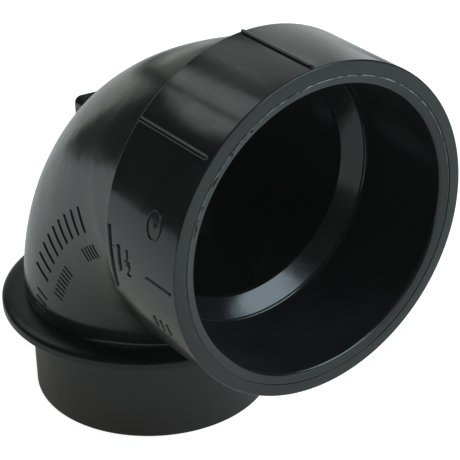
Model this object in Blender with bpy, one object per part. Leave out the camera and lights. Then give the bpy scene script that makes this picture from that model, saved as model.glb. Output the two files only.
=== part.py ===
"""Drain elbow, 90 degrees, for 1-1/2 inch ABS drain pipe.

The hub takes a pipe and opens towards -Y. The spigot points down -Z and goes into the next fitting as
far as the stop collar. The elbow stands on its spigot end, with the origin under the middle of its
bounding box. All sizes below are measured from the point where the hub's axis meets the spigot's axis,
and one empty carries every piece from there to its place above the origin.

The elbow is built as five sections that share one waterway: the hub, the seat ring at the bottom of
its socket, the bend with its heel lug, the stop collar and the spigot.
"""

import math

import bmesh
import bpy
from mathutils import Vector

MM = 0.001

# Standard pipe and the waterway
PIPE_RADIUS = 24.13 * MM
WATERWAY_RADIUS = 20.6 * MM
GAP = 0.3 * MM

# Hub, measured along its axis from the crossing of the axes towards the mouth
HUB_RIM = 54.0 * MM
HUB_BACK = 35.2 * MM
HUB_RIM_RADIUS = 28.3 * MM
HUB_BACK_RADIUS = 29.05 * MM
HUB_BACK_ROUND = 0.8 * MM
HUB_RIM_ROUND = 0.35 * MM
SOCKET_MOUTH_RADIUS = 24.35 * MM
SOCKET_BASE_RADIUS = 24.16 * MM
RIM_STEP_RADIUS = 26.1 * MM
RIM_STEP_DEPTH = 0.25 * MM
MOUTH_CHAMFER_DEPTH = 0.9 * MM

# Seat ring, a 45 degree shoulder that stops the pipe
SEAT_FRONT = 34.6 * MM
SEAT_BACK = 31.3 * MM
SEAT_INNER_RADIUS = 21.1 * MM
SEAT_OUTER_RADIUS = 24.1 * MM
SEAT_LIP = 0.4 * MM

# Bend, a quarter turn about a line parallel to X, cut flat where it meets the hub and the collar
BEND_RADIUS = 38.0 * MM
BEND_STATIONS = (
    # angle round the turn from the hub, outer radius of the section there
    (0.0, 27.0 * MM),
    (20.0, 24.85 * MM),
    (45.0, 24.85 * MM),
    (65.0, 25.3 * MM),
    (78.0, 25.4 * MM),
    (90.0, 25.2 * MM),
)
BEND_STEP_DEGREES = 6
BEND_FRONT = GAP - HUB_BACK
BEND_FOOT = -32.3 * MM
FOOT_RADIUS = 25.1 * MM
FOOT_TUCK_HEIGHT = 5.0 * MM
SEAT_POCKET_RADIUS = SEAT_OUTER_RADIUS + GAP
SEAT_POCKET_END = SEAT_BACK - GAP

# Lug on the heel, on the plane of symmetry
LUG_WIDTH = 6.6 * MM
LUG_TOP = -0.3 * MM
LUG_BOTTOM = -10.0 * MM
LUG_ROOT = 8.0 * MM
LUG_REACH = 23.2 * MM
LUG_ROUND = 1.1 * MM

# Stop collar and spigot, measured upwards from the crossing of the axes
COLLAR_RADIUS = 29.65 * MM
COLLAR_BOTTOM = -35.25 * MM
COLLAR_EDGE_TOP = -34.05 * MM
COLLAR_SHOULDER_RADIUS = 28.9 * MM
COLLAR_CREST = BEND_FOOT - GAP
COLLAR_EDGE_ROUND = 0.4 * MM
COLLAR_BORE_RADIUS = PIPE_RADIUS + GAP
SPIGOT_END = -54.0 * MM
SPIGOT_TOP = BEND_FOOT - GAP
SPIGOT_ROUND = 0.4 * MM

# Where the axes cross, above and behind the origin
AXES_HEIGHT = -SPIGOT_END
AXES_DEPTH = (HUB_RIM - COLLAR_RADIUS) / 2

LATHE_STEPS = 60
BEND_SIDES = 48
DOME_STEPS = 7
OVERCUT = 12.0 * MM
MERGE = 1e-6
SMOOTH_ANGLE = math.radians(30.0)


def clear_scene():
    for item in list(bpy.data.objects):
        bpy.data.objects.remove(item, do_unlink=True)


def make_crossing():
    """Empty at the crossing of the axes, the parent of every piece and every cutter."""
    crossing = bpy.data.objects.new("axes_crossing", None)
    crossing.location = (0.0, AXES_DEPTH, AXES_HEIGHT)
    bpy.context.scene.collection.objects.link(crossing)


def plastic(name, colour, roughness):
    material = bpy.data.materials.new(name)
    material.use_nodes = True
    shader = material.node_tree.nodes["Principled BSDF"]
    shader.inputs["Base Color"].default_value = (*colour, 1.0)
    shader.inputs["Roughness"].default_value = roughness
    shader.inputs["Metallic"].default_value = 0.0
    return material


def as_object(name, bm, material=None):
    """Turn a bmesh into an object, shaded smooth except along its sharp edges."""
    bmesh.ops.remove_doubles(bm, verts=bm.verts, dist=MERGE)
    bmesh.ops.recalc_face_normals(bm, faces=bm.faces)
    mesh = bpy.data.meshes.new(name)
    bm.to_mesh(mesh)
    bm.free()
    mesh.shade_smooth()
    mesh.set_sharp_from_angle(angle=SMOOTH_ANGLE)
    if material:
        mesh.materials.append(material)
    item = bpy.data.objects.new(name, mesh)
    item.parent = bpy.data.objects["axes_crossing"]
    bpy.context.scene.collection.objects.link(item)
    return item


def round_corner(before, corner, after, size, steps=4):
    """Points of a rounded profile corner between two straight runs."""
    start = Vector(corner) + (Vector(before) - Vector(corner)).normalized() * size
    end = Vector(corner) + (Vector(after) - Vector(corner)).normalized() * size
    points = []
    for step in range(steps + 1):
        t = step / steps
        point = start * (1 - t) ** 2 + Vector(corner) * 2 * t * (1 - t) + end * t**2
        points.append(tuple(point))
    return points


def turned(name, profile, material=None):
    """Spin a closed profile of (radius, height) points about the object's own Z axis."""
    bm = bmesh.new()
    verts = [bm.verts.new((radius, 0.0, height)) for radius, height in profile]
    edges = []
    for index, vert in enumerate(verts):
        edges.append(bm.edges.new((vert, verts[(index + 1) % len(verts)])))
    bmesh.ops.spin(
        bm,
        geom=verts + edges,
        cent=(0.0, 0.0, 0.0),
        axis=(0.0, 0.0, 1.0),
        angle=math.tau,
        steps=LATHE_STEPS,
        use_merge=True,
    )
    return as_object(name, bm, material)


def turn_to_hub_axis(item):
    """Lay a turned piece down so that its own +Z points out of the hub, along -Y."""
    item.rotation_euler = (math.radians(90.0), 0.0, 0.0)


def bend_section(angle_degrees, radius):
    """Centre, outward direction and radius of one section of the quarter turn."""
    angle = math.radians(angle_degrees)
    outward = Vector((0.0, math.sin(angle), math.cos(angle)))
    turn_centre = Vector((0.0, -BEND_RADIUS, -BEND_RADIUS))
    return turn_centre + outward * BEND_RADIUS, outward, radius


def bend_radius_at(angle):
    """Outer radius of the bend, a smooth curve through its stations."""
    stations = BEND_STATIONS
    index = max(i for i, station in enumerate(stations[:-1]) if angle >= station[0])
    slopes = []
    for i in (index, index + 1):
        low = stations[max(i - 1, 0)]
        high = stations[min(i + 1, len(stations) - 1)]
        slopes.append((high[1] - low[1]) / (high[0] - low[0]))
    start, end = stations[index], stations[index + 1]
    span = end[0] - start[0]
    t = (angle - start[0]) / span
    return (
        (1 + 2 * t) * (1 - t) ** 2 * start[1]
        + t * (1 - t) ** 2 * span * slopes[0]
        + t**2 * (3 - 2 * t) * end[1]
        + t**2 * (t - 1) * span * slopes[1]
    )


def swept(sections):
    """Join round sections, each (centre, outward direction, radius), into a capped tube."""
    bm = bmesh.new()
    rings = []
    for centre, outward, radius in sections:
        ring = []
        for side in range(BEND_SIDES):
            turn = math.tau * side / BEND_SIDES
            offset = outward * math.cos(turn) + Vector((1.0, 0.0, 0.0)) * math.sin(turn)
            ring.append(bm.verts.new(centre + offset * radius))
        rings.append(ring)
    for ring, following in zip(rings, rings[1:]):
        for side in range(BEND_SIDES):
            other = (side + 1) % BEND_SIDES
            bm.faces.new((ring[side], ring[other], following[other], following[side]))
    bm.faces.new(rings[0])
    bm.faces.new(rings[-1])
    return bm


def cut_flat(bm, point, outward):
    """Slice away what lies beyond a plane and close the cut."""
    everything = bm.verts[:] + bm.edges[:] + bm.faces[:]
    bmesh.ops.bisect_plane(bm, geom=everything, plane_co=point, plane_no=outward, clear_outer=True)
    open_edges = [edge for edge in bm.edges if edge.is_boundary]
    bmesh.ops.holes_fill(bm, edges=open_edges, sides=0)


def tuck_foot(bm):
    """Draw the lowest stretch of the bend in to a circle on the spigot's axis."""
    for vert in bm.verts:
        depth = (BEND_FOOT + FOOT_TUCK_HEIGHT - vert.co.z) / FOOT_TUCK_HEIGHT
        share = max(0.0, min(1.0, depth)) ** 2
        across = math.hypot(vert.co.x, vert.co.y)
        if share > 0.0:
            factor = 1.0 + share * (FOOT_RADIUS / across - 1.0)
            vert.co.x *= factor
            vert.co.y *= factor


def box(name, low, high):
    bm = bmesh.new()
    bmesh.ops.create_cube(bm, size=1.0)
    size = Vector(high) - Vector(low)
    bmesh.ops.scale(bm, vec=size, verts=bm.verts)
    bmesh.ops.translate(bm, vec=(Vector(low) + Vector(high)) / 2, verts=bm.verts)
    return as_object(name, bm)


def combine(target, tool, operation):
    """Add a Boolean that joins or cuts with a tool, which is kept out of the model."""
    tool.hide_render = True
    tool.display_type = "WIRE"
    modifier = target.modifiers.new(tool.name, "BOOLEAN")
    modifier.solver = "EXACT"
    modifier.operation = operation
    modifier.object = tool


def make_hub():
    """Sleeve that widens towards its back, with a rim line and a chamfered mouth."""
    rim_outer = (HUB_RIM_RADIUS, HUB_RIM)
    back_outer = (HUB_BACK_RADIUS, HUB_BACK)
    rim_step = (RIM_STEP_RADIUS, HUB_RIM)
    profile = [
        (SOCKET_BASE_RADIUS, HUB_BACK),
        *round_corner((SOCKET_BASE_RADIUS, HUB_BACK), back_outer, rim_outer, HUB_BACK_ROUND),
        *round_corner(back_outer, rim_outer, rim_step, HUB_RIM_ROUND),
        rim_step,
        (RIM_STEP_RADIUS, HUB_RIM - RIM_STEP_DEPTH),
        (SOCKET_MOUTH_RADIUS, HUB_RIM - MOUTH_CHAMFER_DEPTH),
    ]
    hub = turned("hub_socket", profile, plastic("hub_black", (0.012, 0.012, 0.013), 0.32))
    turn_to_hub_axis(hub)


def make_seat_ring():
    """Cone shoulder at the bottom of the socket, where the pipe's end comes to rest."""
    profile = [
        (SEAT_OUTER_RADIUS, SEAT_FRONT),
        (SEAT_OUTER_RADIUS - SEAT_LIP, SEAT_FRONT),
        (SEAT_INNER_RADIUS, SEAT_BACK + SEAT_LIP),
        (SEAT_INNER_RADIUS, SEAT_BACK),
        (SEAT_OUTER_RADIUS, SEAT_BACK),
    ]
    ring = turned("seat_ring", profile, plastic("seat_black", (0.016, 0.016, 0.017), 0.28))
    turn_to_hub_axis(ring)


def make_bend():
    """Quarter-turn body with its waterway, the pocket of the seat ring and the heel lug."""
    steps = range(0, 90 + BEND_STEP_DEGREES, BEND_STEP_DEGREES)
    outside = swept([bend_section(angle, bend_radius_at(angle)) for angle in steps])
    cut_flat(outside, (0.0, BEND_FRONT, 0.0), (0.0, -1.0, 0.0))
    cut_flat(outside, (0.0, 0.0, BEND_FOOT), (0.0, 0.0, -1.0))
    tuck_foot(outside)
    bend = as_object("bend_body", outside, plastic("bend_black", (0.014, 0.014, 0.015), 0.38))

    lug = box("lug_shape", (-LUG_WIDTH / 2, LUG_ROOT, LUG_BOTTOM), (LUG_WIDTH / 2, LUG_REACH, LUG_TOP))
    rounding = lug.modifiers.new("rounding", "BEVEL")
    rounding.width = LUG_ROUND
    rounding.segments = 2
    combine(bend, lug, "UNION")

    turn = [bend_section(angle, WATERWAY_RADIUS) for angle in steps]
    lead_in = (turn[0][0] - Vector((0.0, OVERCUT, 0.0)), turn[0][1], WATERWAY_RADIUS)
    lead_out = (turn[-1][0] - Vector((0.0, 0.0, OVERCUT)), turn[-1][1], WATERWAY_RADIUS)
    waterway = as_object("waterway_cut", swept([lead_in, *turn, lead_out]))
    combine(bend, waterway, "DIFFERENCE")

    pocket_profile = [
        (0.0, HUB_BACK + OVERCUT),
        (0.0, SEAT_POCKET_END),
        (SEAT_POCKET_RADIUS, SEAT_POCKET_END),
        (SEAT_POCKET_RADIUS, HUB_BACK + OVERCUT),
    ]
    pocket = turned("pocket_cut", pocket_profile)
    turn_to_hub_axis(pocket)
    combine(bend, pocket, "DIFFERENCE")


def make_collar():
    """Thin flange with a domed top; the next fitting's rim stops under it."""
    edge_top = Vector((COLLAR_RADIUS, COLLAR_EDGE_TOP))
    shoulder = Vector((COLLAR_SHOULDER_RADIUS, COLLAR_CREST))
    crest = Vector((COLLAR_BORE_RADIUS, COLLAR_CREST))
    edge_bottom = (COLLAR_RADIUS, COLLAR_BOTTOM)
    foot = (COLLAR_BORE_RADIUS, COLLAR_BOTTOM)
    profile = [foot, *round_corner(foot, edge_bottom, edge_top, COLLAR_EDGE_ROUND)]
    for step in range(DOME_STEPS + 1):
        t = step / DOME_STEPS
        profile.append(tuple(edge_top * (1 - t) ** 2 + shoulder * 2 * t * (1 - t) + crest * t**2))
    turned("stop_collar", profile, plastic("collar_black", (0.010, 0.010, 0.011), 0.36))


def make_spigot():
    """Plain pipe-size tube below the bend, with its end slightly rounded."""
    end_outer = (PIPE_RADIUS, SPIGOT_END)
    end_inner = (WATERWAY_RADIUS, SPIGOT_END)
    top_outer = (PIPE_RADIUS, SPIGOT_TOP)
    top_inner = (WATERWAY_RADIUS, SPIGOT_TOP)
    profile = [
        top_inner,
        *round_corner(top_inner, end_inner, end_outer, SPIGOT_ROUND, 2),
        *round_corner(end_inner, end_outer, top_outer, SPIGOT_ROUND, 3),
        top_outer,
    ]
    turned("spigot_tube", profile, plastic("spigot_black", (0.018, 0.018, 0.018), 0.55))


clear_scene()
make_crossing()
make_hub()
make_seat_ring()
make_bend()
make_collar()
make_spigot()
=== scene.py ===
"""Looks for the drain elbow: one black ABS moulding on a pale floor.

Each CAD section is replaced by a finely modelled one of the same size. The sections meet without gaps, so
that they read as one moulding, and the marks on the moulding are raised shapes on their own closed meshes.
"""

import math

from functools import partial

import bmesh
import bpy
from mathutils import Matrix, Vector, noise


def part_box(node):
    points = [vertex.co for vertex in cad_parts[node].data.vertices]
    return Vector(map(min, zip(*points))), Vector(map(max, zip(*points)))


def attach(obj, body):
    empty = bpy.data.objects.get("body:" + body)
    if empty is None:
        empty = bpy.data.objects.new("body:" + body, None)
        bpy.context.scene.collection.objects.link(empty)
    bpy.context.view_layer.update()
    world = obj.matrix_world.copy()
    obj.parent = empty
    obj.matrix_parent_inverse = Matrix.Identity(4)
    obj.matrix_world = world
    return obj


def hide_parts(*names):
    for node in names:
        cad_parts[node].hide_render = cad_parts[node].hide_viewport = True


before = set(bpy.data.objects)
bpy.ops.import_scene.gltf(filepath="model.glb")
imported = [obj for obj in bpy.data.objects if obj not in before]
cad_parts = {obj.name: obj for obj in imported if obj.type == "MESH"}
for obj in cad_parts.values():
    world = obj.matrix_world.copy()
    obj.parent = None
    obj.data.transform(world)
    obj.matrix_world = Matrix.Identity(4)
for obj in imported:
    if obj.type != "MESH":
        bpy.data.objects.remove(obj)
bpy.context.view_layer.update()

MM = 0.001

# ------------------------------------------------------------------ places and sizes, from the frame
hub_low, hub_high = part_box("hub_socket")
seat_low, seat_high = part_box("seat_ring")
collar_low, collar_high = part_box("stop_collar")
spigot_low, spigot_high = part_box("spigot_tube")

# The hub's axis runs along Y and the spigot's axis along Z. Lengths are measured from where they cross.
CROSSING = Vector((0.0, (spigot_low.y + spigot_high.y) / 2, (hub_low.z + hub_high.z) / 2))

HUB_RIM = CROSSING.y - hub_low.y
HUB_BACK = CROSSING.y - hub_high.y
SEAT_FRONT = CROSSING.y - seat_low.y
SEAT_BACK = CROSSING.y - seat_high.y
SEAT_OUTER_RADIUS = seat_high.x
PIPE_RADIUS = spigot_high.x
SPIGOT_END = spigot_low.z - CROSSING.z
COLLAR_RADIUS = collar_high.x
COLLAR_BOTTOM = collar_low.z - CROSSING.z
COLLAR_CREST = collar_high.z - CROSSING.z

# ------------------------------------------------------------------ sizes of the fine shape
WATERWAY_RADIUS = 20.6 * MM

# Hub: its wall, the socket with a lip at the bottom, and the fine line, step and moulding flash on the rim
HUB_RIM_RADIUS = 28.3 * MM
HUB_BACK_RADIUS = 29.05 * MM
HUB_BACK_ROUND = 0.5 * MM
HUB_RIM_ROUND = 0.3 * MM
SOCKET_MOUTH_RADIUS = 24.35 * MM
SOCKET_FOOT_RADIUS = 24.3 * MM
SOCKET_LIP_RADIUS = 23.92 * MM
SOCKET_LIP_LENGTH = 0.38 * MM
SOCKET_LIP_ROUND = 1.25 * MM
MOUTH_DEPTH = 0.5 * MM
MOUTH_ROUND = 0.75 * MM
RIM_STEP = 0.06 * MM
RIM_LINE_RADIUS = 26.1 * MM
RIM_LINE_WIDTH = 0.2 * MM
RIM_LINE_DEPTH = 0.14 * MM
RIM_LINE_ROUND = 0.04 * MM
RIM_LINE_WANDER = 0.03 * MM
FLASH_WIDTH = 0.17 * MM
FLASH_HEIGHT = 0.06 * MM
FLASH_LEAST = 0.008 * MM
FLASH_STEPS = 6

# Seat: the shoulder that stops the pipe, with a thin groove between its edge and the socket's lip
SEAT_INNER_RADIUS = 20.75 * MM
SEAT_EDGE_RADIUS = 23.66 * MM
SEAT_THROAT = 0.8 * MM
SEAT_STEP = 0.3 * MM
SEAT_GROOVE = 0.12 * MM
SEAT_ROUND = 0.2 * MM
SEAT_EDGE_ROUND = 0.05 * MM

# Bend: a quarter turn about a line parallel to X, drawn to a circle at each flat end
BEND_RADIUS = 38.0 * MM
BEND_STATIONS = (
    # angle round the turn from the hub, outer radius of the section there
    (0.0, 27.0 * MM),
    (20.0, 24.85 * MM),
    (45.0, 24.85 * MM),
    (65.0, 25.3 * MM),
    (78.0, 25.4 * MM),
    (90.0, 25.2 * MM),
)
FLARE_FADE = 0.5
SEAT_LEDGE_RADIUS = 20.8 * MM
DRAW_IN_HEIGHT = 5.0 * MM
FOOT_RADIUS = 24.95 * MM
FOOT_DRAW_HEIGHT = 4.0 * MM
FOOT_TUCK = 0.15 * MM

# Fillet of the foot: its size, how far it turns, and where it starts and is full, from the sides (0) to
# the front (1)
FOOT_FILLET = 2.2 * MM
FILLET_SWEEP = 0.9
FILLET_START = 0.3
FILLET_FULL = 0.75

# Lug on the heel, whose root follows the slope of the bend's wall
LUG_WIDTH = 6.6 * MM
LUG_TOP = -0.3 * MM
LUG_BOTTOM = -10.0 * MM
LUG_ROOT_TOP = 10.2 * MM
LUG_ROOT_BOTTOM = 16.0 * MM
LUG_REACH = 23.2 * MM
LUG_ROUND = 1.6 * MM

# Collar and spigot
COLLAR_EDGE_TOP = -34.05 * MM
COLLAR_SHOULDER_RADIUS = 29.6 * MM
COLLAR_EDGE_ROUND = 0.25 * MM
SPIGOT_END_ROUND = 0.6 * MM
SPIGOT_BORE_ROUND = 0.5 * MM

# Steps of the meshes
TURN_STEPS = 288
RIM_STEPS = 720
BEND_SIDES = 240
BEND_ROWS = 110
BORE_ROWS = 48
DOME_STEPS = 24
ROUND_STEPS = 8
SHARP_ANGLE = math.radians(32.0)


# ------------------------------------------------------------------ mesh tools
def piece(name, bm, material, slot, *nodes):
    """Make a closed mesh into a piece that rides on the body and stands for its CAD nodes."""
    bmesh.ops.recalc_face_normals(bm, faces=bm.faces)
    mesh = bpy.data.meshes.new(name)
    bm.to_mesh(mesh)
    bm.free()
    mesh.shade_smooth()
    mesh.set_sharp_from_angle(angle=SHARP_ANGLE)
    mesh.materials.append(material)
    item = bpy.data.objects.new(name, mesh)
    bpy.context.scene.collection.objects.link(item)
    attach(item, "root")
    if nodes:
        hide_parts(*nodes)


def rounded(corners, steps=ROUND_STEPS):
    """Closed outline through corners of (radius, distance, rounding), each rounded by an arc."""
    outline = []
    for index, (radius, distance, rounding) in enumerate(corners):
        corner = Vector((radius, distance))
        if rounding == 0.0:
            outline.append(corner)
            continue
        back = (Vector(corners[index - 1][:2]) - corner).normalized()
        ahead = (Vector(corners[(index + 1) % len(corners)][:2]) - corner).normalized()
        half = back.angle(ahead) / 2
        centre = corner + (back + ahead).normalized() * rounding / math.sin(half)
        start = corner + back * rounding / math.tan(half) - centre
        end = corner + ahead * rounding / math.tan(half) - centre
        for step in range(steps + 1):
            outline.append(centre + start.slerp(end, step / steps) * rounding)
    return outline


def about_hub(radius, distance, angle):
    """Point at a radius from the hub's axis, a distance towards its mouth and an angle from +X towards +Z."""
    return CROSSING + Vector((radius * math.cos(angle), -distance, radius * math.sin(angle)))


def about_spigot(radius, height, angle):
    """Point at a radius from the spigot's axis, a height and an angle from +X towards +Y."""
    return CROSSING + Vector((radius * math.cos(angle), radius * math.sin(angle), height))


def add_skin(bm, loops, closed=True):
    """Quads between neighbouring loops of points; closed joins the last loop to the first, open caps both."""
    rings = [[bm.verts.new(point) for point in loop] for loop in loops]
    pairs = list(zip(rings, rings[1:]))
    if closed:
        pairs.append((rings[-1], rings[0]))
    for ring, following in pairs:
        for index in range(len(ring)):
            other = (index + 1) % len(ring)
            bm.faces.new((ring[index], ring[other], following[other], following[index]))
    if not closed:
        bm.faces.new(rings[0])
        bm.faces.new(rings[-1])


def turned(place, outline, steps=TURN_STEPS):
    """Turn a closed outline of (radius, distance) round an axis, with place giving the points.

    The outline is a list, or a function that gives the list at an angle.
    """
    loops = []
    for step in range(steps):
        angle = math.tau * step / steps
        corners = outline(angle) if callable(outline) else outline
        loops.append([place(x, y, angle) for x, y in corners])
    bm = bmesh.new()
    add_skin(bm, loops)
    return bm


# ------------------------------------------------------------------ the bend's surface
def bend_radius(angle):
    """Outer radius of the bend at an angle in degrees, a smooth curve through its stations."""
    stations = BEND_STATIONS
    index = max(i for i, station in enumerate(stations[:-1]) if angle >= station[0] or i == 0)
    slopes = []
    for i in (index, index + 1):
        low = stations[max(i - 1, 0)]
        high = stations[min(i + 1, len(stations) - 1)]
        slopes.append((high[1] - low[1]) / (high[0] - low[0]))
    start, end = stations[index], stations[index + 1]
    span = end[0] - start[0]
    t = (angle - start[0]) / span
    return (
        (1 + 2 * t) * (1 - t) ** 2 * start[1]
        + t * (1 - t) ** 2 * span * slopes[0]
        + t**2 * (3 - 2 * t) * end[1]
        + t**2 * (t - 1) * span * slopes[1]
    )


def about_bend(radius, turn, side):
    """Point on a round section of the bend, turn in degrees from the hub, side in radians from the heel."""
    angle = math.radians(turn)
    outward = Vector((0.0, math.sin(angle), math.cos(angle)))
    right = Vector((1.0, 0.0, 0.0))
    middle = Vector((0.0, -BEND_RADIUS, -BEND_RADIUS)) + outward * BEND_RADIUS
    return middle + outward * radius * math.cos(side) + right * radius * math.sin(side)


def outer_radius(turn, side):
    """Outer radius at a side, with a flare towards the hub, full on the back and fading at the sides."""
    radius = bend_radius(turn)
    flare_end, plain_radius = BEND_STATIONS[1]
    if turn >= flare_end:
        return radius
    share = max(0.0, math.cos(side)) ** FLARE_FADE
    return plain_radius + (radius - plain_radius) * share


def outer_skin(turn, side):
    return about_bend(outer_radius(turn, side), turn, side)


def bore_skin(turn, side):
    return about_bend(WATERWAY_RADIUS, turn, side)


def turn_where(skin, side, axis, value):
    """Turn at which a skin crosses the plane axis = value, by halving the interval."""
    halvings = 40
    low, high = 0.0, 90.0
    rising = skin(high, side)[axis] > skin(low, side)[axis]
    for _ in range(halvings):
        middle = (low + high) / 2
        if (skin(middle, side)[axis] < value) == rising:
            low = middle
        else:
            high = middle
    return (low + high) / 2


def drawn_in(point, along, plane, radius, height=DRAW_IN_HEIGHT):
    """Near a flat end, draw a point towards a circle of this radius about the end's axis."""
    share = max(0.0, 1.0 - abs(point[along] - plane) / height) ** 2
    across = point.copy()
    across[along] = 0.0
    return point + across * share * (radius / across.length - 1.0)


def foot_flare(point):
    """Concave fillet from the bend's foot to the collar under the hub, fading to a crease at the sides."""
    depth = FILLET_SWEEP * min(1.0, max(0.0, 1.0 - (point.z - COLLAR_CREST) / FOOT_FILLET))
    across = Vector((point.x, point.y, 0.0)).normalized()
    share = min(1.0, max(0.0, (-across.y - FILLET_START) / (FILLET_FULL - FILLET_START)))
    share = share**2 * (3.0 - 2.0 * share)
    return point + across * FOOT_FILLET * share * (1.0 - math.sqrt(1.0 - depth**2))


def outer_wall(turn, side):
    """Finished outside of the bend, narrowed to the foot and spread by the fillet."""
    skin = outer_skin(turn, side)
    return foot_flare(drawn_in(skin, 2, COLLAR_CREST, FOOT_RADIUS, FOOT_DRAW_HEIGHT))


def bend_column(side):
    """Closed outline of the bend's wall at one side angle: outside, foot, bore and the seat's pocket."""
    start = turn_where(outer_skin, side, 1, -HUB_BACK)
    knee = turn_where(outer_skin, side, 2, COLLAR_CREST + FOOT_FILLET)
    turns = [start + (knee - start) * row / BEND_ROWS for row in range(BEND_ROWS)]
    for step in range(ROUND_STEPS + 1):
        depth = FOOT_FILLET * (1.0 - math.sin(math.pi / 2 * step / ROUND_STEPS))
        turns.append(turn_where(outer_skin, side, 2, COLLAR_CREST + depth))
    column = [outer_wall(turn, side) for turn in turns]
    across = Vector((column[-1].x, column[-1].y, 0.0)).normalized()
    column.append(column[-1] + across * FOOT_TUCK / 2 - Vector((0.0, 0.0, FOOT_TUCK)))

    foot = turn_where(bore_skin, side, 2, COLLAR_CREST)
    ledge = turn_where(bore_skin, side, 1, -SEAT_BACK)
    for row in range(BORE_ROWS + 1):
        point = bore_skin(foot + (ledge - foot) * row / BORE_ROWS, side)
        point = drawn_in(point, 2, COLLAR_CREST, WATERWAY_RADIUS)
        column.append(drawn_in(point, 1, -SEAT_BACK, SEAT_LEDGE_RADIUS))

    for distance in (SEAT_BACK, HUB_BACK):
        pocket = Vector((math.sin(side), 0.0, math.cos(side))) * SEAT_OUTER_RADIUS
        column.append(pocket - Vector((0.0, distance, 0.0)))
    return [CROSSING + point for point in column]


# ------------------------------------------------------------------ materials
HUB_BLACK = (0.012, 0.012, 0.0122)
SEAT_BLACK = (0.012, 0.012, 0.0124)
BEND_BLACK = (0.012, 0.012, 0.0122)
# Painted shade: the collar's black is half as bright as the rest of the same moulding, for the shade under
# the bend
COLLAR_SHADED_BLACK = (0.006, 0.006, 0.0061)
SPIGOT_BLACK = (0.0125, 0.0125, 0.0123)
MARK_BLACK = (0.011, 0.011, 0.0112)
SPECK_GREY = (0.09, 0.09, 0.085)
SPECK_COVER = 0.55
SPECK_ROUGHNESS = 0.4
# Pale grey of the scuffing on the rim's flash, lightened further as a painted highlight where the flash
# catches the light
SCUFF_AND_HIGHLIGHT_GREY = (0.36, 0.38, 0.385)

ABS_IOR = 1.54
# A very faint glow that stands for the stray light in a camera
VEIL = 0.0026
VEIL_COLOUR = (0.93, 1.0, 0.96, 1.0)

# Flow lines per metre along X, Y and Z: they run along the hub's axis
HUB_STREAKS = (260.0, 12.0, 260.0)
SEAT_STREAKS = (420.0, 25.0, 420.0)

# Depth of the relief that each pattern stands for
CLOUD_DEPTH = 0.22 * MM
PEEL_DEPTH = 0.0035 * MM
FLOW_DEPTH = 0.01 * MM
GRAIN_DEPTH = 0.016 * MM


class Nodes:
    """Small helper that adds and wires the nodes of one material or world."""

    def __init__(self, owner):
        owner.use_nodes = True
        self.tree = owner.node_tree

    def add(self, kind, settings=None, **inputs):
        """New node, with its settings and its inputs by name, where _ stands for a space."""
        node = self.tree.nodes.new(kind)
        for name, value in (settings or {}).items():
            setattr(node, name, value)
        for name, value in inputs.items():
            self.feed(node.inputs[name.replace("_", " ")], value)
        return node

    def feed(self, socket, value):
        """Link an output to a socket, or set the socket's own value."""
        if isinstance(value, bpy.types.NodeSocket):
            self.tree.links.new(value, socket)
        else:
            socket.default_value = value

    def math(self, operation, *values):
        """Result of one Math node."""
        node = self.tree.nodes.new("ShaderNodeMath")
        node.operation = operation
        for socket, value in zip(node.inputs, values):
            self.feed(socket, value)
        return node.outputs[0]

    def product(self, *factors):
        result = factors[0]
        for factor in factors[1:]:
            result = self.math("MULTIPLY", result, factor)
        return result

    def length(self, x, y):
        """Length of the vector (x, y)."""
        squares = [self.math("POWER", part, 2.0) for part in (x, y)]
        return self.math("SQRT", self.math("ADD", *squares))

    def apart(self, first, second):
        return self.math("ABSOLUTE", self.math("SUBTRACT", first, second))

    def ramp(self, value, from_low, from_high, to_low, to_high, smooth=False):
        """Map a range to another, straight or smoothly."""
        node = self.tree.nodes.new("ShaderNodeMapRange")
        if smooth:
            node.interpolation_type = "SMOOTHSTEP"
        for socket, part in zip(node.inputs, (value, from_low, from_high, to_low, to_high)):
            self.feed(socket, part)
        return node.outputs[0]

    def blend(self, share, first, second):
        """Mix two colours."""
        node = self.tree.nodes.new("ShaderNodeMix")
        node.data_type = "RGBA"
        for index, value in ((0, share), (6, first), (7, second)):
            self.feed(node.inputs[index], (*value, 1.0) if isinstance(value, tuple) else value)
        return node.outputs[2]

    def scaled(self, colour, factor):
        """Multiply a colour by a factor."""
        node = self.add("ShaderNodeVectorMath", {"operation": "SCALE"})
        self.feed(node.inputs[0], colour)
        self.feed(node.inputs["Scale"], factor)
        return node.outputs[0]

    def noise(self, place, scale, detail=2.0, roughness=0.5):
        node = self.add("ShaderNodeTexNoise", Vector=place, Scale=scale, Detail=detail, Roughness=roughness)
        return node.outputs["Fac"]

    def bump(self, height, distance, normal=None):
        """Normal of a relief, on top of an earlier one if it is given."""
        node = self.add("ShaderNodeBump", Height=height, Distance=distance, Strength=1.0)
        if normal is not None:
            self.feed(node.inputs["Normal"], normal)
        return node.outputs["Normal"]


def rim_scuffs_and_highlight(nodes, place, place_mm):
    """Share of pale scuffing and painted highlight on the moulding flash round the rim, strongest at the top,
    where the flash catches the light.
    """
    x, y, z = nodes.add("ShaderNodeSeparateXYZ", Vector=place).outputs
    rise = nodes.math("SUBTRACT", z, CROSSING.z)
    crest_radius = RIM_LINE_RADIUS - RIM_LINE_WIDTH / 2 - FLASH_WIDTH / 2
    off = nodes.apart(nodes.length(x, rise), crest_radius)
    ring = nodes.ramp(off, FLASH_WIDTH * 0.3, FLASH_WIDTH * 0.6, 1.0, 0.0)
    face = nodes.math("LESS_THAN", y, CROSSING.y - HUB_RIM + MOUTH_DEPTH)
    # Painted highlight: the pale colour grows from almost none at the bottom of the rim to full at the top
    top = nodes.ramp(rise, 0.0, HUB_RIM_RADIUS, 0.05, 1.0)
    patches = nodes.ramp(nodes.noise(place_mm, 0.5, detail=4.0, roughness=0.7), 0.42, 0.6, 0.0, 1.0)
    return nodes.product(ring, face, top, patches)


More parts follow.
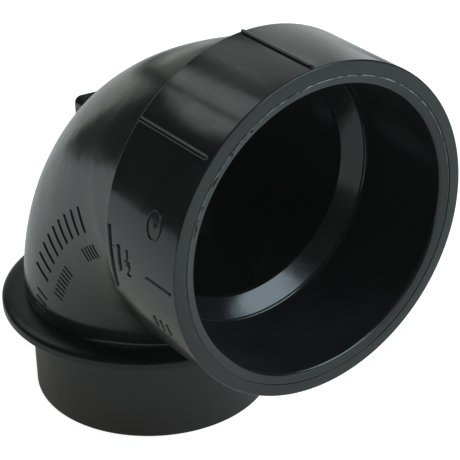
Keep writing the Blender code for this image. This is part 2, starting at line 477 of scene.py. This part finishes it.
def black_abs(name, colour, roughness, sink=1.0, peel=1.0, grain=0.0, gloss=1.0, streaks=None, scuffs_and_highlight=False):
    """Moulded black plastic.

    Sink is the slow unevenness of a cooled wall, peel is the orange-peel on its skin, and grain is the
    texture of a spark-eroded mould. Gloss scales the reflections, streaks adds faint flow lines, and the last
    switch adds pale scuffing on the rim's moulding flash, with a painted highlight that grows towards the
    top.
    """
    material = bpy.data.materials.new(name)
    nodes = Nodes(material)
    shader = nodes.tree.nodes["Principled BSDF"]
    place = nodes.add("ShaderNodeTexCoord").outputs["Object"]
    place_mm = nodes.add("ShaderNodeMapping", Vector=place, Scale=(1 / MM, 1 / MM, 1 / MM)).outputs[0]

    # Noise sizes are in features per millimetre
    clouds = nodes.noise(place_mm, 0.09, detail=3.0)
    skin = nodes.noise(place_mm, 1.1, detail=3.0)
    smudges = nodes.noise(place_mm, 0.22, detail=5.0, roughness=0.62)
    lines = clouds
    if streaks:
        stretched = nodes.add("ShaderNodeMapping", Vector=place, Scale=streaks).outputs[0]
        lines = nodes.noise(stretched, 1.0, detail=4.0, roughness=0.6)

    # Dust specks, which come in patches
    cells = nodes.add("ShaderNodeTexVoronoi", Vector=place_mm, Scale=0.42).outputs["Distance"]
    speck_size = nodes.ramp(nodes.noise(place_mm, 0.35, detail=1.0), 0.45, 0.75, 0.0, 0.075)
    speck = nodes.math("LESS_THAN", cells, speck_size)

    shade = nodes.ramp(clouds, 0.3, 0.7, 0.75, 1.3)
    tint = nodes.blend(nodes.math("MULTIPLY", speck, SPECK_COVER), nodes.scaled(colour, shade), SPECK_GREY)
    # Pale scuffing on the rim's flash, with a painted highlight towards the top
    if scuffs_and_highlight:
        tint = nodes.blend(rim_scuffs_and_highlight(nodes, place, place_mm), tint, SCUFF_AND_HIGHLIGHT_GREY)
    nodes.feed(shader.inputs["Base Color"], tint)
    shader.inputs["Emission Color"].default_value = VEIL_COLOUR
    shader.inputs["Emission Strength"].default_value = VEIL

    worn = nodes.ramp(smudges, 0.42, 0.72, 0.0, 0.07)
    flow = nodes.ramp(lines, 0.35, 0.75, -0.02, 0.05)
    total = nodes.math("ADD", nodes.math("ADD", worn, flow), roughness)
    total = nodes.math("ADD", total, nodes.math("MULTIPLY", speck, SPECK_ROUGHNESS))
    nodes.feed(shader.inputs["Roughness"], total)
    shader.inputs["IOR"].default_value = ABS_IOR
    shader.inputs["Specular IOR Level"].default_value = 0.5 * gloss

    normal = nodes.bump(clouds, CLOUD_DEPTH * sink)
    normal = nodes.bump(skin, PEEL_DEPTH * peel, normal)
    if streaks:
        normal = nodes.bump(lines, FLOW_DEPTH * sink, normal)
    if grain:
        pits = nodes.noise(place_mm, 5.5, detail=3.0, roughness=0.7)
        normal = nodes.bump(pits, GRAIN_DEPTH * grain, normal)
    nodes.feed(shader.inputs["Normal"], normal)
    return material


# ------------------------------------------------------------------ sections
def hub_outline(angle):
    """Cross-section of the hub, whose moulding flash along the rim line comes and goes with the angle."""
    lip_end = SEAT_FRONT + SEAT_STEP + SEAT_GROOVE / 2
    line_in = RIM_LINE_RADIUS - RIM_LINE_WIDTH / 2
    line_out = RIM_LINE_RADIUS + RIM_LINE_WIDTH / 2
    face = HUB_RIM - RIM_STEP

    # The noise is read round a circle, so that it closes on itself, and the flash is highest at the top
    way = Vector((math.cos(angle), math.sin(angle), 0.0))
    rough = 0.4 + 1.3 * noise.noise(way * 7.0) + 0.6 * noise.noise(way * 55.0)
    flash = FLASH_LEAST + FLASH_HEIGHT * max(0.0, rough * max(0.0, 0.15 + 0.85 * way.y))
    wander = RIM_LINE_WANDER * noise.noise(way * 9.0 + Vector((0.0, 0.0, 3.0)))

    ridge = []
    for step in range(FLASH_STEPS + 1):
        turn = math.pi * step / FLASH_STEPS
        across = FLASH_WIDTH / 2 * (1 - math.cos(turn))
        ridge.append((line_in + wander - across, face + flash * math.sin(turn), 0.0))
    return rounded(
        [
            (SEAT_OUTER_RADIUS, lip_end, 0.0),
            (SEAT_OUTER_RADIUS, HUB_BACK, 0.0),
            (HUB_BACK_RADIUS, HUB_BACK, HUB_BACK_ROUND),
            (HUB_RIM_RADIUS, HUB_RIM, HUB_RIM_ROUND),
            (line_out + wander, HUB_RIM, RIM_LINE_ROUND),
            (line_out + wander, HUB_RIM - RIM_LINE_DEPTH, 0.0),
            (line_in + wander, HUB_RIM - RIM_LINE_DEPTH, 0.0),
            *ridge,
            (SOCKET_MOUTH_RADIUS, HUB_RIM - MOUTH_DEPTH, MOUTH_ROUND),
            (SOCKET_FOOT_RADIUS, lip_end + SOCKET_LIP_LENGTH, SOCKET_LIP_ROUND),
            (SOCKET_LIP_RADIUS, lip_end, 0.0),
        ]
    )


def make_hub():
    # The hub's rim gets pale scuffing on its flash, with a painted highlight towards the top
    finish = black_abs("hub_black", HUB_BLACK, roughness=0.14, sink=0.3, streaks=HUB_STREAKS, scuffs_and_highlight=True)
    piece("hub_shell", turned(about_hub, hub_outline, RIM_STEPS), finish, "hub_plastic", "hub_socket")


def make_seat():
    front = SEAT_FRONT + SEAT_STEP - SEAT_GROOVE / 2
    corners = [
        (SEAT_OUTER_RADIUS, front, 0.0),
        (SEAT_EDGE_RADIUS, front, SEAT_EDGE_ROUND),
        (SEAT_INNER_RADIUS, SEAT_BACK + SEAT_THROAT, SEAT_ROUND),
        (SEAT_INNER_RADIUS, SEAT_BACK, 0.0),
        (SEAT_OUTER_RADIUS, SEAT_BACK, 0.0),
    ]
    finish = black_abs("seat_black", SEAT_BLACK, roughness=0.15, sink=0.5, peel=0.3, streaks=SEAT_STREAKS)
    piece("seat_shoulder", turned(about_hub, rounded(corners)), finish, "seat_plastic", "seat_ring")


def make_bend():
    finish = black_abs("bend_black", BEND_BLACK, roughness=0.16, sink=0.5)
    bend = bmesh.new()
    add_skin(bend, [bend_column(math.tau * step / BEND_SIDES) for step in range(BEND_SIDES)])
    piece("bend_shell", bend, finish, "bend_plastic", "bend_body")

    lug = bmesh.new()
    bmesh.ops.create_cube(lug, size=1.0)
    for vert in lug.verts:
        across = math.copysign(LUG_WIDTH / 2, vert.co.x)
        height, root = (LUG_TOP, LUG_ROOT_TOP) if vert.co.z > 0 else (LUG_BOTTOM, LUG_ROOT_BOTTOM)
        vert.co = CROSSING + Vector((across, LUG_REACH if vert.co.y > 0 else root, height))
    bmesh.ops.bevel(
        lug, geom=lug.edges[:], offset=LUG_ROUND, segments=ROUND_STEPS, profile=0.5, affect="EDGES"
    )
    piece("heel_lug", lug, finish, "bend_plastic")


def make_collar():
    """Thin collar, with a round edge under a dome that runs flat into the bend's foot."""
    edge = Vector((COLLAR_RADIUS, COLLAR_EDGE_TOP))
    shoulder = Vector((COLLAR_SHOULDER_RADIUS, COLLAR_CREST))
    crest = Vector((PIPE_RADIUS, COLLAR_CREST))
    outline = rounded(
        [
            (PIPE_RADIUS, COLLAR_BOTTOM, 0.0),
            (COLLAR_RADIUS, COLLAR_BOTTOM, COLLAR_EDGE_ROUND),
            (COLLAR_RADIUS, COLLAR_EDGE_TOP, 0.0),
        ]
    )
    for step in range(1, DOME_STEPS + 1):
        t = step / DOME_STEPS
        outline.append(edge * (1 - t) ** 2 + shoulder * 2 * t * (1 - t) + crest * t**2)
    # Painted shade: a darker copy of the moulding's black, with weaker reflections, for the collar in the
    # shade under the bend
    finish = black_abs("collar_black", COLLAR_SHADED_BLACK, roughness=0.3, peel=1.2, gloss=0.7)
    piece("collar_flange", turned(about_spigot, outline), finish, "collar_plastic", "stop_collar")


def make_spigot():
    corners = [
        (WATERWAY_RADIUS, COLLAR_CREST, 0.0),
        (WATERWAY_RADIUS, SPIGOT_END, SPIGOT_BORE_ROUND),
        (PIPE_RADIUS, SPIGOT_END, SPIGOT_END_ROUND),
        (PIPE_RADIUS, COLLAR_CREST, 0.0),
    ]
    finish = black_abs("spigot_black", SPIGOT_BLACK, roughness=0.42, grain=1.0)
    piece("spigot_pipe", turned(about_spigot, rounded(corners)), finish, "spigot_plastic", "spigot_tube")


# ------------------------------------------------------------------ marks on the moulding
# How far a bead reaches into the wall behind it, and the steps along and across it
MARK_SINK = 0.3 * MM
BEAD_STEP = 0.3 * MM
BEAD_END_STEPS = 5
BEAD_ARC_STEPS = 12
BEAD_END_FULLNESS = 1.6

# A bead is its corners as (right, up), its width and its height, all in millimetres. On the hub, right is
# towards the mouth and up is up the wall, from a place given as (distance in millimetres, angle in degrees).
RIB_ANGLES = (139.6, 96.5)
RIB = (((35.7, 0.0), (53.3, 0.0)), 0.95, 0.42)
RIB_BOXINESS = 0.8

LINE_PLACE = (0.0, 183.75)
LINE = (((46.3, 0.0), (52.9, 0.0)), 0.55, 0.25)

ARC_PLACE = (36.75, 185.0)
ARC_DEPTH = 0.9
ARC_HALF_LENGTH = 5.75
ARC_STEPS = 6
ARC_WIDTH = 0.6
ARC_HEIGHT = 0.28

# Size of the pipe, 1 1/2, in plain strokes
NUMERAL_PLACE = (39.0, 187.8)
NUMERAL_STROKES = (
    (((0.0, 0.0), (0.0, 4.6)), 0.62, 0.28),
    (((-1.35, 3.75), (-0.5, 4.1), (0.0, 4.6)), 0.5, 0.26),
    (((2.4, 2.95), (2.4, 4.6)), 0.36, 0.2),
    (((1.85, 4.2), (2.4, 4.6)), 0.34, 0.2),
    (((1.6, 2.6), (3.0, 2.6)), 0.3, 0.18),
    (((1.9, 1.7), (2.1, 2.15), (2.5, 2.25), (2.8, 1.95), (2.75, 1.5), (1.9, 0.2), (2.9, 0.2)), 0.34, 0.2),
)

# Plain ring with a dot, and plain bars
RING_PLACE = (47.8, 165.1)
RING_SIZE = (3.3, 4.7)
RING_WIDTH = 0.36
RING_HEIGHT = 0.2
DOT = (((0.0, -0.4), (0.0, 0.4)), 1.1, 0.22)
HUB_BARS_PLACE = (48.2, 201.5)
HUB_BARS_RIGHT = (-2.2, -0.5, 1.2)
HUB_BAR_ENDS = (-1.0, 1.5)
HUB_BAR_WIDTH = 0.4
HUB_BAR_HEIGHT = 0.18
BEND_BARS = (
    # count, first and last turn, low and high side in degrees, width, height
    (9, 30.0, 65.0, -94.5, -83.5, 0.8, 0.22),
    (5, 28.6, 36.4, -105.5, -99.5, 0.4, 0.14),
    (8, 51.8, 66.0, -105.0, -99.5, 0.4, 0.14),
    (3, 72.0, 77.5, -96.0, -88.0, 0.5, 0.16),
)
BEND_BAR_BOXINESS = 0.7


def on_hub(distance, angle, right, up):
    """Place and normal on the hub's wall, right towards the mouth and up along the wall from a start."""
    along = distance + right
    radius = HUB_RIM_RADIUS + (HUB_BACK_RADIUS - HUB_RIM_RADIUS) * (HUB_RIM - along) / (HUB_RIM - HUB_BACK)
    turned_by = math.radians(angle) - up / radius
    normal = Vector((math.cos(turned_by), 0.0, math.sin(turned_by)))
    return about_hub(radius, along, turned_by), normal


def on_bend(turn, side, right, up):
    """Place and normal on the bend, right towards the hub and up over its outside from a start."""
    radius = bend_radius(turn)
    side_angle = math.radians(side) + up / radius
    reach = BEND_RADIUS + radius * math.cos(side_angle)
    turned_to = turn - math.degrees(right / reach)
    point = outer_wall(turned_to, side_angle)
    middle = about_bend(0.0, turned_to, 0.0)
    return CROSSING + point, (point - middle).normalized()


def resampled(corners, distances):
    """Points at these distances along a line of corners."""
    points = []
    for distance in distances:
        left = distance
        for start, end in zip(corners, corners[1:]):
            span = (end - start).length
            if left <= span or end is corners[-1]:
                points.append(start.lerp(end, min(1.0, left / span)))
                break
            left -= span
    return points


def add_bead(bm, patch, corners, width, height, boxiness=0.6, closed=False):
    """Raised bead along a line of (right, up) corners of a patch, with round ends unless it is closed.

    Corners, width and height are in millimetres. Boxiness is the power of the cross-section: 1 gives a
    round bead and less gives a flatter top.
    """
    corners = [Vector(corner) * MM for corner in corners]
    width, height = width * MM, height * MM
    length = sum((end - start).length for start, end in zip(corners, corners[1:]))
    half = width / 2
    count = max(2, round((length - width) / BEAD_STEP))
    distances = [half + (length - width) * i / count for i in range(count + 1)]
    fullness = [1.0] * len(distances)
    if closed:
        distances = [length * i / count for i in range(count)]
        fullness = [1.0] * count
    else:
        for step in range(1, BEAD_END_STEPS + 1):
            turn = math.pi / 2 * step / (BEAD_END_STEPS + 0.5)
            inset = half * (1 - math.sin(turn))
            distances = [inset, *distances, length - inset]
            fullness = [math.cos(turn), *fullness, math.cos(turn)]
    path = [patch(point.x, point.y) for point in resampled(corners, distances)]

    profile = [(1.0, 0.0)]
    for step in range(1, BEAD_ARC_STEPS):
        angle = math.pi * step / BEAD_ARC_STEPS
        x = math.copysign(abs(math.cos(angle)) ** boxiness, math.cos(angle))
        profile.append((x, math.sin(angle) ** boxiness))
    profile.append((-1.0, 0.0))

    rings = []
    last = len(path) - 1
    for index, (centre, normal) in enumerate(path):
        ahead = path[(index + 1) % len(path) if closed else min(index + 1, last)][0]
        behind = path[index - 1 if closed else max(index - 1, 0)][0]
        side = normal.cross(ahead - behind).normalized() * half * fullness[index]
        top = normal * height * min(1.0, fullness[index] * BEAD_END_FULLNESS)
        ring = [centre + side * x + top * y for x, y in profile]
        ring.append(centre - side - normal * MARK_SINK)
        ring.append(centre + side - normal * MARK_SINK)
        rings.append(ring)
    add_skin(bm, rings, closed)


def oval(width, height, steps=40):
    """Closed line of corners round an upright oval."""
    angles = [math.tau * step / steps for step in range(steps + 1)]
    return [(width / 2 * math.cos(a), height / 2 * math.sin(a)) for a in angles]


def hub_patch(place):
    distance, angle = place
    return partial(on_hub, distance * MM, angle)


def make_ribs(finish):
    """Two long ribs across the top of the hub."""
    ribs = bmesh.new()
    for angle in RIB_ANGLES:
        add_bead(ribs, hub_patch((0.0, angle)), *RIB, RIB_BOXINESS)
    piece("hub_ribs", ribs, finish, "hub_plastic")


def make_hub_marks(finish):
    marks = bmesh.new()
    add_bead(marks, hub_patch(LINE_PLACE), *LINE)
    steps = [step / ARC_STEPS for step in range(-ARC_STEPS, ARC_STEPS + 1)]
    arc = [(ARC_DEPTH * math.cos(t) - ARC_DEPTH, ARC_HALF_LENGTH * t) for t in steps]
    add_bead(marks, hub_patch(ARC_PLACE), arc, ARC_WIDTH, ARC_HEIGHT)
    for stroke in NUMERAL_STROKES:
        add_bead(marks, hub_patch(NUMERAL_PLACE), *stroke)
    add_bead(marks, hub_patch(RING_PLACE), oval(*RING_SIZE), RING_WIDTH, RING_HEIGHT, closed=True)
    add_bead(marks, hub_patch(RING_PLACE), *DOT)
    for right in HUB_BARS_RIGHT:
        bar = [(right, end) for end in HUB_BAR_ENDS]
        add_bead(marks, hub_patch(HUB_BARS_PLACE), bar, HUB_BAR_WIDTH, HUB_BAR_HEIGHT)
    piece("hub_marks", marks, finish, "hub_plastic")


def make_bend_marks(finish):
    """Rows of plain raised bars across the bend's side."""
    marks = bmesh.new()
    for count, first_turn, last_turn, low_side, high_side, width, height in BEND_BARS:
        for index in range(count):
            turn = first_turn + (last_turn - first_turn) * index / (count - 1)
            rise = math.radians(high_side - low_side) * bend_radius(turn) / MM
            bar = [(0.0, 0.0), (0.0, rise)]
            add_bead(marks, partial(on_bend, turn, low_side), bar, width, height, BEND_BAR_BOXINESS)
    piece("bend_marks", marks, finish, "bend_plastic")


# ------------------------------------------------------------------ stage
TABLE_NEAR = 0.9
TABLE_FAR = 0.4
# Glow of the table as the elbow sees it, changing over this span of x - y from the spigot's axis
TABLE_GLOW_LEFT = (0.25, 0.25, 0.229)
TABLE_GLOW_RIGHT = (0.34, 0.405, 0.41)
TABLE_GLOW_FROM = 0.08
TABLE_GLOW_TO = 0.2
TABLE_SEEN = 0.93
PAPER = (0.8, 0.8, 0.77, 1.0)
WORLD_FILL = 0.05

# Soft boxes: degrees from the hub's mouth towards +X, degrees up, width, height, softness of the edges
# in degrees, colour
SOFT_BOXES = (
    (30.0, 48.0, 64.0, 26.0, 12.0, (3.6, 4.5, 5.0)),
    (0.0, 20.0, 28.0, 18.0, 4.0, (1.2, 1.3, 1.2)),
    (30.0, 5.0, 28.0, 12.0, 3.0, (1.2, 1.4, 1.5)),
    (120.0, 12.0, 28.0, 26.0, 4.0, (1.1, 1.16, 1.12)),
    (141.0, 11.0, 14.0, 46.0, 4.0, (0.6, 0.64, 0.62)),
    (155.0, 39.0, 30.0, 18.0, 4.0, (0.53, 0.57, 0.55)),
    (165.0, -3.0, 32.0, 16.0, 3.0, (0.55, 0.58, 0.55)),
    (168.0, 12.0, 24.0, 18.0, 5.0, (0.26, 0.28, 0.26)),
    (172.0, 45.0, 14.0, 12.0, 4.0, (0.3, 0.32, 0.31)),
    (-163.0, 44.0, 30.0, 20.0, 6.0, (1.25, 1.35, 1.3)),
)
# Dark edge between two of the boxes behind the elbow, which rises to the left as a shallow curve
EDGE_START = (math.radians(156.0), math.radians(-5.0))
EDGE_SLOPE = 0.85
EDGE_CURVE = 0.35
EDGE_WIDTH = math.radians(3.6)
EDGE_SPAN = (math.radians(150.0), math.radians(206.0))
EDGE_DARKNESS = 0.9

# Camera, from the crossing of the axes
CAMERA_PLACE = Vector((-110.836, -187.209, 90.854)) * MM
CAMERA_AZIMUTH = math.radians(-34.76)
CAMERA_ELEVATION = math.radians(27.49)
CAMERA_ROLL = math.radians(0.226)
CAMERA_LENS = 97.72
SENSOR_WIDTH = 36.0
CAMERA_CLIP_START = 0.01


def make_table():
    """Pale table: near white to the camera, softly lit paper to everything else, and clear from below."""
    mesh = bpy.data.meshes.new("table")
    far, near = TABLE_FAR, TABLE_NEAR
    corners = [(-far, -near, 0.0), (near, -near, 0.0), (near, far, 0.0), (-far, far, 0.0)]
    mesh.from_pydata(corners, [], [(0, 1, 2, 3)])
    table = bpy.data.objects.new("table", mesh)
    bpy.context.scene.collection.objects.link(table)
    paper = bpy.data.materials.new("paper")
    nodes = Nodes(paper)
    nodes.tree.nodes.clear()
    diffuse = nodes.add("ShaderNodeBsdfDiffuse", Color=PAPER).outputs[0]
    seen = nodes.add("ShaderNodeLightPath").outputs["Is Camera Ray"]
    geometry = nodes.add("ShaderNodeNewGeometry").outputs
    place = nodes.add("ShaderNodeSeparateXYZ", Vector=geometry["Position"]).outputs
    across, along = place[0], nodes.math("SUBTRACT", place[1], CROSSING.y)

    # No glow inside the pipe, where the table stands in the dark
    open_air = nodes.math("GREATER_THAN", nodes.length(across, along), PIPE_RADIUS)
    side = nodes.ramp(nodes.math("SUBTRACT", across, along), TABLE_GLOW_FROM, TABLE_GLOW_TO, 0.0, 1.0)
    glow = nodes.blend(side, TABLE_GLOW_LEFT, TABLE_GLOW_RIGHT)
    glow = nodes.blend(seen, glow, (TABLE_SEEN, TABLE_SEEN, TABLE_SEEN))
    strength = nodes.math("MAXIMUM", open_air, seen)
    glow = nodes.add("ShaderNodeEmission", Color=glow, Strength=strength).outputs[0]
    both = nodes.add("ShaderNodeAddShader")
    nodes.feed(both.inputs[0], diffuse)
    nodes.feed(both.inputs[1], glow)
    from_below = nodes.add("ShaderNodeMixShader", Fac=geometry["Backfacing"])
    nodes.feed(from_below.inputs[1], both.outputs[0])
    nodes.feed(from_below.inputs[2], nodes.add("ShaderNodeBsdfTransparent").outputs[0])
    out = nodes.add("ShaderNodeOutputMaterial")
    nodes.feed(out.inputs["Surface"], from_below.outputs[0])
    mesh.materials.append(paper)


def soft_box_light(nodes, azimuth, elevation):
    """Light of all the soft boxes in a direction."""
    light = (WORLD_FILL, WORLD_FILL, WORLD_FILL)
    for box_azimuth, box_elevation, width, height, softness, colour in SOFT_BOXES:
        turn = nodes.math("SUBTRACT", azimuth, math.radians(box_azimuth))
        turn = nodes.math("ABSOLUTE", nodes.math("WRAP", turn, math.pi, -math.pi))
        rise = nodes.apart(elevation, math.radians(box_elevation))
        soft = math.radians(softness) / 2
        inside = 1.0
        for distance, size in ((turn, width), (rise, height)):
            edge = math.radians(size) / 2
            share = nodes.ramp(distance, edge - soft, edge + soft, 1.0, 0.0, smooth=True)
            inside = nodes.math("MULTIPLY", inside, share)
        total = nodes.add("ShaderNodeVectorMath", {"operation": "ADD"})
        nodes.feed(total.inputs[0], light)
        nodes.feed(total.inputs[1], nodes.scaled(colour, inside))
        light = total.outputs[0]
    return light


def dark_edge(nodes, azimuth, elevation):
    """Share of light that the dark edge takes away in a direction."""
    round_about = nodes.math("WRAP", azimuth, math.tau, 0.0)
    along = nodes.math("SUBTRACT", round_about, EDGE_START[0])
    rise = nodes.math("MULTIPLY", along, nodes.math("MULTIPLY_ADD", along, EDGE_CURVE, EDGE_SLOPE))
    off = nodes.apart(nodes.math("SUBTRACT", elevation, EDGE_START[1]), rise)
    edge = nodes.ramp(off, EDGE_WIDTH / 4, EDGE_WIDTH, EDGE_DARKNESS, 0.0, smooth=True)
    after_start = nodes.math("GREATER_THAN", round_about, EDGE_SPAN[0])
    before_end = nodes.math("LESS_THAN", round_about, EDGE_SPAN[1])
    return nodes.product(edge, after_start, before_end)


def make_studio():
    """Dark room with soft boxes, and plain white wherever the camera sees past the table."""
    world = bpy.data.worlds.new("studio")
    bpy.context.scene.world = world
    nodes = Nodes(world)
    nodes.tree.nodes.clear()
    way = nodes.add("ShaderNodeTexCoord").outputs["Generated"]
    x, y, z = nodes.add("ShaderNodeSeparateXYZ", Vector=way).outputs
    azimuth = nodes.math("ARCTAN2", x, nodes.math("MULTIPLY", y, -1.0))
    elevation = nodes.math("ARCSINE", z)
    light = soft_box_light(nodes, azimuth, elevation)
    light = nodes.scaled(light, nodes.math("SUBTRACT", 1.0, dark_edge(nodes, azimuth, elevation)))

    seen = nodes.add("ShaderNodeLightPath").outputs["Is Camera Ray"]
    background = nodes.add("ShaderNodeBackground", Color=nodes.blend(seen, light, (1.0, 1.0, 1.0)))
    out = nodes.add("ShaderNodeOutputWorld")
    nodes.feed(out.inputs["Surface"], background.outputs[0])


def make_camera():
    camera_data = bpy.data.cameras.new("camera")
    camera_data.sensor_width = SENSOR_WIDTH
    camera_data.lens = CAMERA_LENS
    camera_data.clip_start = CAMERA_CLIP_START
    camera = bpy.data.objects.new("camera", camera_data)
    bpy.context.scene.collection.objects.link(camera)
    bpy.context.scene.camera = camera

    level = math.cos(CAMERA_ELEVATION)
    ahead = Vector(
        (
            -math.sin(CAMERA_AZIMUTH) * level,
            math.cos(CAMERA_AZIMUTH) * level,
            -math.sin(CAMERA_ELEVATION),
        )
    )
    aim = ahead.to_track_quat("-Z", "Y").to_matrix() @ Matrix.Rotation(-CAMERA_ROLL, 3, "Z")
    camera.location = CROSSING + CAMERA_PLACE
    camera.rotation_mode = "QUATERNION"
    camera.rotation_quaternion = aim.to_quaternion()


make_hub()
make_seat()
make_bend()
make_collar()
make_spigot()
mark_finish = black_abs("mark_black", MARK_BLACK, roughness=0.2, sink=0.0)
make_ribs(mark_finish)
make_hub_marks(mark_finish)
make_bend_marks(mark_finish)
make_table()
make_studio()
make_camera()
bpy.context.scene.view_settings.view_transform = "Standard"
